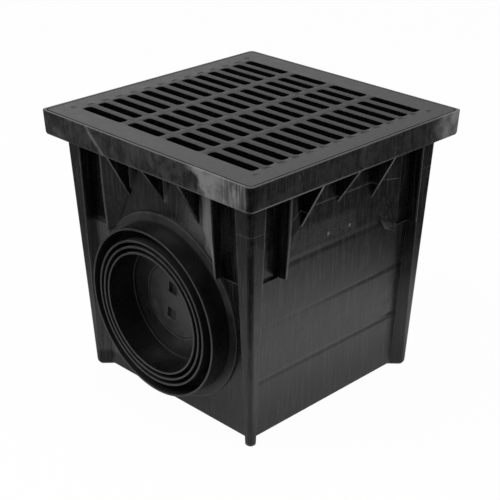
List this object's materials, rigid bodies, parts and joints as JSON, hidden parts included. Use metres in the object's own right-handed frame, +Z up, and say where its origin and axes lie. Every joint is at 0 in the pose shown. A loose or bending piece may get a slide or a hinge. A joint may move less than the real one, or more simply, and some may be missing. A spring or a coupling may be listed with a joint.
{
  "type": "catch basin",
  "caption": "Square tapered drainage catch basin with ribbed rim, loose slotted grate and stepped-ring pipe outlet adapters on opposite sides.",
  "frame": {"origin": "middle of the basin's footprint, at the bottom of the feet", "axes": "+Z up through the grate; the outlets face -Y (front) and +Y (rear)"},
  "size_m": [0.334, 0.334, 0.326],
  "materials": {
    "black_plastic": "satin"
  },
  "bodies": {
    "root": {"basin": "black_plastic", "grate": "black_plastic", "outlet_adapter_front": "black_plastic", "outlet_adapter_rear": "black_plastic"}
  },
  "joints": []
}
